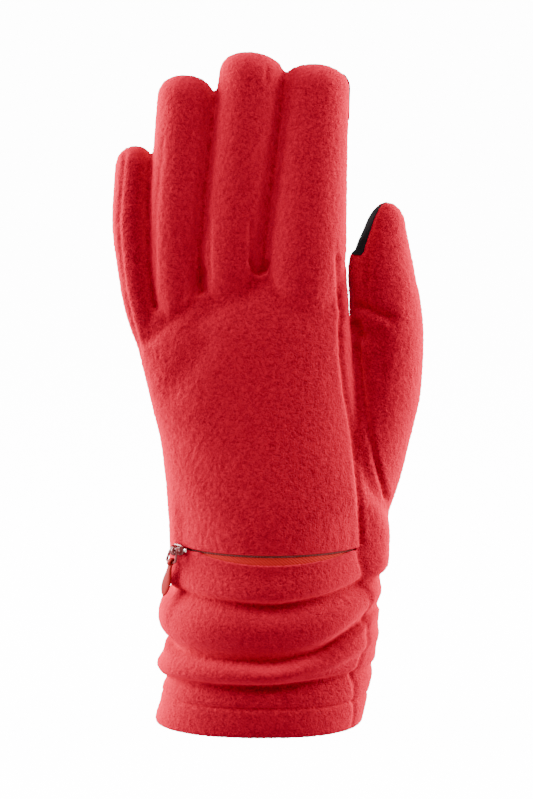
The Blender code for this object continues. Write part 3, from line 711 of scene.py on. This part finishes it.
def build_hood(look):
    """The mitten hood, one sheet of cloth folded in three and stowed in the pocket.

    The sheet's outline runs down, up and down again at three depths and back on its other face.
    """
    low, high = HOOD_Z
    layers, cloth = HOOD_LAYERS, LINING_THICK
    runs = (
        (layers[0], low, high), (layers[1] + cloth, high, low + 2), (layers[2], low + 2, high - 2),
        (layers[2] + cloth, high - 2, low), (layers[1], low, high - 2), (layers[0] + cloth, high - 2, low),
    )
    path = [(depth, z) for depth, start, end in runs for z in np.linspace(start, end, 24)]
    hood = closed_ring_piece("mitten_hood_cloth", path, HOOD_BEARINGS, look, lining_material(look))
    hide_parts("mitten_hood")


# ---------------------------------------------------------------- touch patches

# Each patch: the heights and the angles round the finger (degrees) that it covers.
PATCHES = {"thumb": ((189.5, 211), (112, 234)), "index": ((243, 262), (6, 150))}
PATCH_LIFTS = (0.6, 0.1)


def build_patches(look):
    """Black touch patches: a window of the finger's own rings, lifted off it and closed all round."""
    knit = knit_material(look)
    for name, (heights, turns) in PATCHES.items():
        rings = finger_rings(**FINGERS[name])
        middle = rings.mean(axis=1, keepdims=True)
        outwards = (rings - middle) / (np.linalg.norm(rings - middle, axis=2, keepdims=True) + 0.5)
        inside = (middle[:, 0, 2] > heights[0]) & (middle[:, 0, 2] < heights[1])
        places = np.arange(*turns, 360 / FINGER_SIDES) / 360 * FINGER_SIDES
        columns = np.round(places).astype(int) % FINGER_SIDES
        rings = trimmed_thumb(rings, outwards)
        over, under = ((rings + outwards * lift)[inside][:, columns] for lift in PATCH_LIFTS)
        loop = np.concatenate([over, under[:, ::-1]], axis=1)
        points, faces = closed_tube(loop)
        patch = sharpened(turned_out(add_mesh(f"{name}_patch", points, faces, knit)))
        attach(patch, BODY_OF[name])
        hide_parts(f"{name}_touch_patch")


# ---------------------------------------------------------------- slider and pull

SLIDER_ANGLE = math.radians(-46.5)
PIVOT_OUT = 3.6
LINK_DROP = 5.0
TAB_LENGTH, TAB_HALF = 14.5, 2.75
EYE_ROUND, WIRE_HALF = 1.15, 0.5
PULL_LEAN = 0.32
BRIDGE_ROUND = 1.65

# Rounded plates of the slider: half length, half height, inner and outer face.
SLIDER_PLATES = ((3.1, 2.2, 0.5, 1.7), (2.6, 2.6, -5.6, -4.6), (0.9, 0.5, -5.0, 1.0))
NOSE_PLATE, NOSE_PLACE = (0.8, 0.8, 0.2, 1.3), (3.9, 0.1, 0)


def at_slider(points):
    """Points given along the zip, up and out from the slider's place, moved there."""
    along, up, out = np.moveaxis(np.asarray(points, float), -1, 0)
    centre = (ZIP_X + ZIP_RADIUS * math.sin(SLIDER_ANGLE), ZIP_Y - ZIP_RADIUS * math.cos(SLIDER_ANGLE))
    cos, sin = math.cos(SLIDER_ANGLE), math.sin(SLIDER_ANGLE)
    x, y = centre[0] + along * cos + out * sin, centre[1] + along * sin - out * cos
    return np.stack([x, y, ZIP_Z + up], axis=-1)


def pillow(half_along, half_up, low, high, rounds=14, sides=40):
    """A plate with a rounded outline and rounded edges, as rings from its inner to its outer face."""
    turn = np.linspace(0, 2 * math.pi, sides, endpoint=False)[None, :]
    lift = np.linspace(-math.pi / 2, math.pi / 2, rounds)[:, None]
    shrink = np.maximum(np.cos(lift), 0) ** 0.45 + 0.02
    along = half_along * shrink * np.sign(np.cos(turn)) * np.abs(np.cos(turn)) ** 0.6
    up = half_up * shrink * np.sign(np.sin(turn)) * np.abs(np.sin(turn)) ** 0.6
    out = (low + high) / 2 + (high - low) / 2 * np.sin(lift) + 0 * turn
    return np.stack([along, up, out], axis=-1)


def wire_rings(route, radius, closed, sides=14):
    """Rings of a round wire along a route that lies in one plane, as points in that frame."""
    route = np.array(route, float)
    ahead = np.roll(route, -1, axis=0) - np.roll(route, 1, axis=0)
    if not closed:
        ahead[0], ahead[-1] = route[1] - route[0], route[-1] - route[-2]
    ahead /= np.linalg.norm(ahead, axis=1)[:, None]
    spread = np.cross(route[1] - route[0], route[len(route) // 2] - route[0])
    normal = spread / np.linalg.norm(spread)
    aside = np.cross(ahead, normal)
    turn = np.linspace(0, 2 * math.pi, sides, endpoint=False)[None, :, None]
    return route[:, None] + radius * (np.cos(turn) * aside[:, None] + np.sin(turn) * normal)


def round_corners(half_top, half_low, drop, corner=0.9):
    """The outline of the link: a leaning four-sided loop with round corners."""
    points = []
    corners = (half_top, 0, 0), (-half_top, 0, 90), (-half_low, -drop, 180), (half_low, -drop, 270)
    for x, y, start in corners:
        middle = (x - math.copysign(corner, x), y - corner if y == 0 else y + corner)
        for turn in np.radians(np.linspace(start, start + 90, 7)):
            up = middle[1] + corner * math.sin(turn)
            points.append((middle[0] + corner * math.cos(turn) + PULL_LEAN * up, up, PIVOT_OUT))
    return points


def merged(name, shells, finish, wrap_rows=()):
    """One piece from several shells of rings; those listed are closed end to end instead."""
    points, faces, first = [], [], 0
    for number, rings in enumerate(shells):
        if number in wrap_rows:
            faces += grid_faces(*rings.shape[:2], wrap_rows=True, wrap_columns=True, first=first)
        else:
            faces += closed_tube(rings, first)[1]
        points.append(rings.reshape(-1, 3))
        first += len(points[-1])
    return sharpened(turned_out(add_mesh(name, at_slider(np.concatenate(points)), faces, finish)))


def build_slider(look):
    """The slider's rounded plate, its bridge and the body behind the coil, and a bare steel nose."""
    enamel = plain_material("dark_enamel", look.enamel_colour, 0.3, metallic=0.2, coat=0.6)
    arch = np.radians(np.linspace(-118, 118, 21))
    centre = PIVOT_OUT - 0.35
    bridge = np.array([(0, BRIDGE_ROUND * math.sin(a), centre + BRIDGE_ROUND * math.cos(a)) for a in arch])
    shells = [pillow(*plate) for plate in SLIDER_PLATES]
    shells += [wire_rings(bridge, 0.62, False), wire_rings(bridge + [0.9, 0, 0], WIRE_HALF, False)]
    slider = merged("slider_body", shells, enamel)
    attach(slider, "slider")
    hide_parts("zip_slider")
    steel = plain_material("bare_steel_finish", (0.75, 0.73, 0.70), 0.25, metallic=1.0)
    nose = merged("slider_nose", [pillow(*NOSE_PLATE) + np.array(NOSE_PLACE)], steel)
    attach(nose, "slider")
    low, high = ZIP_Z - 1.6, ZIP_Z + 1.6
    profile = [(-3.2, low), (-1.4, low), (-1.4, high), (-3.2, high)]
    stop = arc_strip("bottom_stop", profile, np.radians([48.3, 50]), steel, steps=6)
    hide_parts("zip_bottom_stop")
    loop = wire_rings(round_corners(2.1, 2.6, LINK_DROP), WIRE_HALF, True)
    link = merged("link_wire", [loop], enamel, wrap_rows=(0,))
    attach(link, "link")
    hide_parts("pull_link")


def build_tab(look):
    """The teardrop tab: a lens across, narrow at its eye and full near its foot."""
    share = np.linspace(0, 1, 48)[:, None]
    turn = np.linspace(0, 2 * math.pi, 36, endpoint=False)[None, :]
    drop = TAB_HALF * np.sin(math.pi * share**1.25) ** 0.62 * (0.62 + 0.42 * share)
    neck = np.exp(-((share / 0.13) ** 2))
    foot = np.minimum(1, np.sqrt(np.clip(1 - share, 0, 1) / 0.06 + 1e-3))
    wide = np.minimum(drop + neck, TAB_HALF) * foot
    thick = 0.42 + 0.32 * np.sin(math.pi * share)
    up = -LINK_DROP - 0.4 - share * TAB_LENGTH
    along = wide * np.sign(np.cos(turn)) * np.abs(np.cos(turn)) ** 0.75 + PULL_LEAN * up
    out = PIVOT_OUT + thick * np.sign(np.sin(turn)) * np.abs(np.sin(turn)) ** 0.75
    body = np.stack([along, up + 0 * turn, out], axis=-1)
    round_trip = np.linspace(0, 2 * math.pi, 24, endpoint=False)
    around = np.stack([0 * round_trip, np.cos(round_trip), np.sin(round_trip)], axis=-1)
    ring = EYE_ROUND * around + [0, -LINK_DROP, PIVOT_OUT]
    eye_wide = wire_rings(ring, WIRE_HALF, True) * [2.2, 1, 1]
    eye_wide[..., 0] += PULL_LEAN * eye_wide[..., 1]
    plastic = plain_material("tab_plastic", look.tab_colour, 0.55, specular=0.12)
    tab = merged("tab_teardrop", [body, eye_wide], plastic, wrap_rows=(1,))
    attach(tab, "tab")
    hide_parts("pull_tab")


# ---------------------------------------------------------------- materials


def socket(node, name, value):
    """Set one input of a node."""
    node.inputs[name].default_value = value


def connect(links, *pairs):
    """Link nodes in turn, each pair as source, its output, target and its input."""
    for source, leaves, target, enters in pairs:
        links.new(source.outputs[leaves], target.inputs[enters])


def new_material(name):
    """A material with an empty Principled shader, its node tree and that shader."""
    made = bpy.data.materials.new(name)
    made.use_nodes = True
    return made, made.node_tree, made.node_tree.nodes["Principled BSDF"]


def plain_material(name, colour, roughness, metallic=0.0, coat=0.0, specular=0.5):
    """A material of one colour with a fine uneven sheen in its roughness."""
    made, tree, shader = new_material(name)
    socket(shader, "Base Color", (*colour[:3], 1))
    socket(shader, "Metallic", metallic)
    socket(shader, "Coat Weight", coat)
    socket(shader, "Specular IOR Level", specular)
    place = tree.nodes.new("ShaderNodeTexCoord")
    grain = tree.nodes.new("ShaderNodeTexNoise")
    socket(grain, "Scale", 900.0)
    spread = tree.nodes.new("ShaderNodeMapRange")
    socket(spread, "To Min", roughness * 0.85)
    socket(spread, "To Max", roughness * 1.15)
    connect(
        tree.links,
        (place, "Object", grain, "Vector"),
        (grain, "Fac", spread, "Value"),
        (spread, "Result", shader, "Roughness"),
    )
    return made


def pile_group():
    """Node group for brushed pile: its height, and a tone that is dark between the tufts."""
    found = bpy.data.node_groups.get("pile")
    if found:
        return found
    group = bpy.data.node_groups.new("pile", "ShaderNodeTree")
    group.interface.new_socket("Tufts", in_out="INPUT", socket_type="NodeSocketFloat")
    group.interface.new_socket("Height", in_out="OUTPUT", socket_type="NodeSocketFloat")
    group.interface.new_socket("Tone", in_out="OUTPUT", socket_type="NodeSocketFloat")
    nodes, links = group.nodes, group.links
    entry, leave = nodes.new("NodeGroupInput"), nodes.new("NodeGroupOutput")
    place = nodes.new("ShaderNodeTexCoord")
    fine = nodes.new("ShaderNodeTexNoise")
    socket(fine, "Detail", 2.0)
    socket(fine, "Roughness", 0.6)
    socket(fine, "Distortion", 0.8)
    coarse = nodes.new("ShaderNodeTexNoise")
    socket(coarse, "Detail", 2.0)
    slower = nodes.new("ShaderNodeMath")
    slower.operation = "MULTIPLY"
    slower.inputs[1].default_value = 0.42
    mixed = nodes.new("ShaderNodeMix")
    socket(mixed, "Factor", 0.10)
    # The tone follows the height, so the low places between the tufts get painted shade on top of the random
    # grain.
    tone = nodes.new("ShaderNodeMapRange")
    socket(tone, "From Min", 0.38)
    socket(tone, "From Max", 0.62)
    connect(
        links,
        (entry, "Tufts", fine, "Scale"),
        (entry, "Tufts", slower, 0),
        (slower, "Value", coarse, "Scale"),
    )
    for noise in (fine, coarse):
        connect(links, (place, "Object", noise, "Vector"))
    connect(
        links,
        (fine, "Fac", mixed, "A"),
        (coarse, "Fac", mixed, "B"),
        (mixed, "Result", leave, "Height"),
        (mixed, "Result", tone, "Value"),
        (tone, "Result", leave, "Tone"),
    )
    return group


def fleece_material(look):
    """Red brushed fleece: pebbled pile with a soft bright bloom where it turns away."""
    found = bpy.data.materials.get("red_fleece")
    if found:
        return found
    made, tree, shader = new_material("red_fleece")
    nodes, links = tree.nodes, tree.links
    pile = nodes.new("ShaderNodeGroup")
    pile.node_tree = pile_group()
    socket(pile, "Tufts", look.tufts)
    # The dark colour in the hollows between the tufts is painted shade. The spread between the two colours is
    # also random grain.
    colour = nodes.new("ShaderNodeMix")
    colour.data_type = "RGBA"
    socket(colour, "A", (*look.fleece_shade_and_grain, 1))
    socket(colour, "B", (*look.fleece_light, 1))
    # Painted highlight: where the surface turns away from the camera, the base colour shifts towards a bright
    # pink-red that stands in for the lit sheen at the rims.
    edge = nodes.new("ShaderNodeLayerWeight")
    socket(edge, "Blend", 0.32)
    painted_sheen = nodes.new("ShaderNodeMix")
    painted_sheen.data_type = "RGBA"
    socket(painted_sheen, "B", (*look.fleece_painted_sheen, 1))
    bump = nodes.new("ShaderNodeBump")
    socket(bump, "Strength", look.pile_strength)
    socket(bump, "Distance", 0.0009)
    connect(
        links,
        (pile, "Tone", colour, "Factor"),
        (colour, "Result", painted_sheen, "A"),
        (edge, "Facing", painted_sheen, "Factor"),
        (painted_sheen, "Result", shader, "Base Color"),
        (pile, "Height", bump, "Height"),
        (bump, "Normal", shader, "Normal"),
    )
    socket(shader, "Roughness", 0.95)
    socket(shader, "Specular IOR Level", 0.03)
    socket(shader, "Sheen Weight", 0.2)
    socket(shader, "Sheen Roughness", 0.4)
    socket(shader, "Sheen Tint", (1.0, 0.03, 0.10, 1))
    return made


def knit_material(look):
    """Matt black knit with fine rows."""
    made, tree, shader = new_material("black_knit")
    place = tree.nodes.new("ShaderNodeTexCoord")
    rows = tree.nodes.new("ShaderNodeTexWave")
    rows.bands_direction = "Z"
    socket(rows, "Scale", 420.0)
    bump = tree.nodes.new("ShaderNodeBump")
    socket(bump, "Strength", 0.35)
    socket(bump, "Distance", 0.0003)
    connect(
        tree.links,
        (place, "Object", rows, "Vector"),
        (rows, "Fac", bump, "Height"),
        (bump, "Normal", shader, "Normal"),
    )
    socket(shader, "Base Color", (*look.patch_colour, 1))
    socket(shader, "Roughness", 0.7)
    socket(shader, "Specular IOR Level", 0.12)
    return made


def lining_material(look):
    """Thin red woven lining."""
    found = bpy.data.materials.get("red_lining")
    return found or plain_material("red_lining", look.lining_colour, 0.8)


def tape_material(look):
    """Orange-red twill: fine slanting ribs."""
    made, tree, shader = new_material("zip_twill")
    nodes, links = tree.nodes, tree.links
    place = nodes.new("ShaderNodeTexCoord")
    turn = nodes.new("ShaderNodeMapping")
    socket(turn, "Rotation", (0, math.radians(52), 0))
    ribs = nodes.new("ShaderNodeTexWave")
    ribs.bands_direction = "X"
    socket(ribs, "Scale", 340.0)
    colour = nodes.new("ShaderNodeMix")
    colour.data_type = "RGBA"
    socket(colour, "A", (*(0.7 * c for c in look.tape_colour), 1))
    socket(colour, "B", (*look.tape_colour, 1))
    bump = nodes.new("ShaderNodeBump")
    socket(bump, "Strength", 0.5)
    socket(bump, "Distance", 0.0003)
    connect(
        links,
        (place, "Object", turn, "Vector"),
        (turn, "Vector", ribs, "Vector"),
        (ribs, "Fac", colour, "Factor"),
        (colour, "Result", shader, "Base Color"),
        (ribs, "Fac", bump, "Height"),
        (bump, "Normal", shader, "Normal"),
    )
    socket(shader, "Roughness", 0.8)
    socket(shader, "Specular IOR Level", 0.08)
    return made


# ---------------------------------------------------------------- stage

FLOOR_REACH = 4000
FLOOR_TONE = (0.30, 0.30, 0.30)
CAMERA_LENS = 95.75
CAMERA_AWAY = 0.85
CAMERA_TILT = math.radians(9)
CAMERA_LEVEL = 0.1324
LIGHTS_AIM = 0.14


def seen_or_lit(tree, lit, seen, target):
    """Drive a strength: one value where it lights the glove, another where the camera sees it."""
    path = tree.nodes.new("ShaderNodeLightPath")
    pick = tree.nodes.new("ShaderNodeMapRange")
    socket(pick, "To Min", lit)
    socket(pick, "To Max", seen)
    connect(tree.links, (path, "Is Camera Ray", pick, "Value"))
    tree.links.new(pick.outputs["Result"], target)


def build_stage(stage):
    """A pale floor, soft lights from both sides, and the camera."""
    far = FLOOR_REACH
    corners = [(-far, -far, 0), (far, -far, 0), (far, far, 0), (-far, far, 0)]
    floor = add_mesh("floor", corners, [[0, 1, 2, 3]], plain_material("floor_white", FLOOR_TONE, 0.9))
    world = bpy.data.worlds.new("studio")
    bpy.context.scene.world = world
    world.use_nodes = True
    sky = world.node_tree.nodes["Background"]
    socket(sky, "Color", (1, 1, 1, 1))
    seen_or_lit(world.node_tree, stage.world, stage.backdrop, sky.inputs["Strength"])
    tree = floor.data.materials[0].node_tree
    shader = tree.nodes["Principled BSDF"]
    socket(shader, "Emission Color", (1, 1, 1, 1))
    seen_or_lit(tree, 0.0, stage.backdrop, shader.inputs["Emission Strength"])
    for label, place, power, wide in (
        ("left", (-0.74, 0.06, 0.30), stage.side_light, 0.6),
        ("right", (0.74, 0.06, 0.30), stage.side_light * 0.85, 0.6),
        ("top", (0.0, -0.60, 0.92), stage.top_light, 0.5),
    ):
        lamp = bpy.data.lights.new(f"light_{label}", "AREA")
        lamp.energy = power
        lamp.size = wide
        made = bpy.data.objects.new(f"light_{label}", lamp)
        made.location = place
        towards = Vector((0, 0, LIGHTS_AIM)) - Vector(place)
        made.rotation_euler = towards.to_track_quat("-Z", "Y").to_euler()
        bpy.context.collection.objects.link(made)
    lens = bpy.data.cameras.new("camera")
    lens.sensor_fit = "VERTICAL"
    lens.sensor_height = 36
    lens.lens = CAMERA_LENS
    camera = bpy.data.objects.new("camera", lens)
    target = Vector((0, 0, CAMERA_LEVEL))
    camera.location = target + Vector((0, -math.cos(CAMERA_TILT), math.sin(CAMERA_TILT))) * CAMERA_AWAY
    camera.rotation_euler = (target - camera.location).to_track_quat("-Z", "Y").to_euler()
    bpy.context.collection.objects.link(camera)
    bpy.context.scene.camera = camera


# ---------------------------------------------------------------- settings, operators and panel


def colour_setting(name, description, default):
    """A colour property."""
    return bpy.props.FloatVectorProperty(
        name=name, description=description, subtype="COLOR", size=3, min=0, max=1, default=default
    )


def amount(name, description, default, unit="NONE"):
    """A number as a property."""
    return bpy.props.FloatProperty(name=name, description=description, default=default, unit=unit)


def whole(name, description, default):
    """A whole number as a property."""
    return bpy.props.IntProperty(name=name, description=description, default=default)


def flat_cut(name, cloth, default):
    """The flat width and length of a piece of cloth as a property, in metres."""
    return bpy.props.FloatVectorProperty(
        name=name, description=f"Flat width and length of the {cloth}", size=2, default=default, unit="LENGTH"
    )


class GloveLook(bpy.types.PropertyGroup):
    """Sizes and colours of the glove."""

    voxel: amount("Skin detail", "Size of the skin's facets", 0.0009, "LENGTH")
    smoothing: whole("Smoothing", "Rounds of smoothing of the skin", 10)
    cuff_columns: whole("Cuff columns", "Points round the cuff", 400)
    cuff_rows: whole("Cuff rows", "Points down the cuff", 110)
    fold_strength: amount("Folds", "Depth of the cuff's folds", 1.4)
    pebble: amount("Pebbles", "Unevenness of the pile in mm", 0.10)
    tufts: amount("Tufts", "Tufts of pile along a metre", 1250.0)
    pile_strength: amount("Pile", "Strength of the pile's relief", 1.0)
    # The dark fleece colour is random grain, plus painted shade between the tufts.
    fleece_shade_and_grain: colour_setting("Fleece, dark", "Colour between the tufts", (0.158, 0.0009, 0.0075))
    fleece_light: colour_setting("Fleece, light", "Colour of the tufts", (0.285, 0.0014, 0.0135))
    # This colour is painted rim light. It is mixed into the base colour at grazing angles.
    fleece_painted_sheen: colour_setting("Fleece, bloom", "Colour where the pile turns away", (0.70, 0.0055, 0.0380))
    tape_colour: colour_setting("Tape", "Colour of the zip's tape", (0.36, 0.008, 0.009))
    # The coil colour is the nylon's red with painted shade from the cuff's lip darkened into it.
    coil_colour_and_shade: colour_setting("Coil", "Colour of the zip's coil", (0.16, 0.003, 0.003))
    lining_colour: colour_setting("Lining", "Colour of pocket lining and hood", (0.22, 0.002, 0.008))
    patch_colour: colour_setting("Patches", "Colour of the touch patches", (0.004, 0.004, 0.0045))
    enamel_colour: colour_setting("Enamel", "Colour of slider and link", (0.14, 0.003, 0.005))
    tab_colour: colour_setting("Tab", "Colour of the pull tab", (0.20, 0.002, 0.003))
    hood_flat: flat_cut("Hood cut", "hood", (0.062, 0.118))
    lining_flat: flat_cut("Lining cut", "lining", (0.095, 0.072))


class StageLook(bpy.types.PropertyGroup):
    """Strength of the lights."""

    world: amount("Surroundings", "Strength of the light from all round", 0.28)
    backdrop: amount("Backdrop", "Brightness of backdrop and floor", 14.0)
    side_light: amount("Side lights", "Power of each side light", 40.0)
    top_light: amount("Top light", "Power of the top light", 13.0)


def builder(name, label, text, work, group="glove_look"):
    """An operator class that runs one build step with its settings."""

    def execute(self, context):
        work(getattr(context.scene, group))
        return {"FINISHED"}

    fields = {"bl_idname": f"glove.{name}", "bl_label": label, "__doc__": text, "execute": execute}
    return type(f"GLOVE_OT_{name}", (bpy.types.Operator,), fields)


STEPS = (
    builder("hand", "Hand and fingers", "Build the fleece hand and its fingers", build_hand),
    builder("cuff", "Cuff", "Build the folded cuff", build_cuff),
    builder("tapes", "Zip tapes", "Build the zip's tapes", build_tapes),
    builder("coils", "Zip coils", "Build the zip's coils", build_coils),
    builder("slider", "Slider", "Build the slider, its link and the stop", build_slider),
    builder("tab", "Tab", "Build the pull tab", build_tab),
    builder("patches", "Touch patches", "Build the black touch patches", build_patches),
    builder("pocket", "Pocket lining", "Build the pocket's lining", build_pocket),
    builder("hood", "Mitten hood", "Build the folded hood", build_hood),
    builder("stage", "Stage", "Build floor, lights and camera", build_stage, "stage_look"),
)


class GLOVE_PT_panel(bpy.types.Panel):
    """The build steps and their settings."""

    bl_label = "Glove"
    bl_idname = "GLOVE_PT_panel"
    bl_space_type = "VIEW_3D"
    bl_region_type = "UI"
    bl_category = "Glove"

    def draw(self, context):
        for step in STEPS:
            self.layout.operator(step.bl_idname)
        for group in (context.scene.glove_look, context.scene.stage_look):
            for name in group.bl_rna.properties.keys():
                if name not in ("rna_type", "name"):
                    self.layout.prop(group, name)


CLASSES = (GloveLook, StageLook, *STEPS, GLOVE_PT_panel)


def register():
    for one in CLASSES:
        bpy.utils.register_class(one)
    bpy.types.Scene.glove_look = bpy.props.PointerProperty(type=GloveLook)
    bpy.types.Scene.stage_look = bpy.props.PointerProperty(type=StageLook)


def unregister():
    del bpy.types.Scene.stage_look
    del bpy.types.Scene.glove_look
    for one in reversed(CLASSES):
        bpy.utils.unregister_class(one)


def main():
    register()
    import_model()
    for step in STEPS:
        getattr(bpy.ops.glove, step.bl_idname.split(".")[1])()


if __name__ == "__main__":
    main()
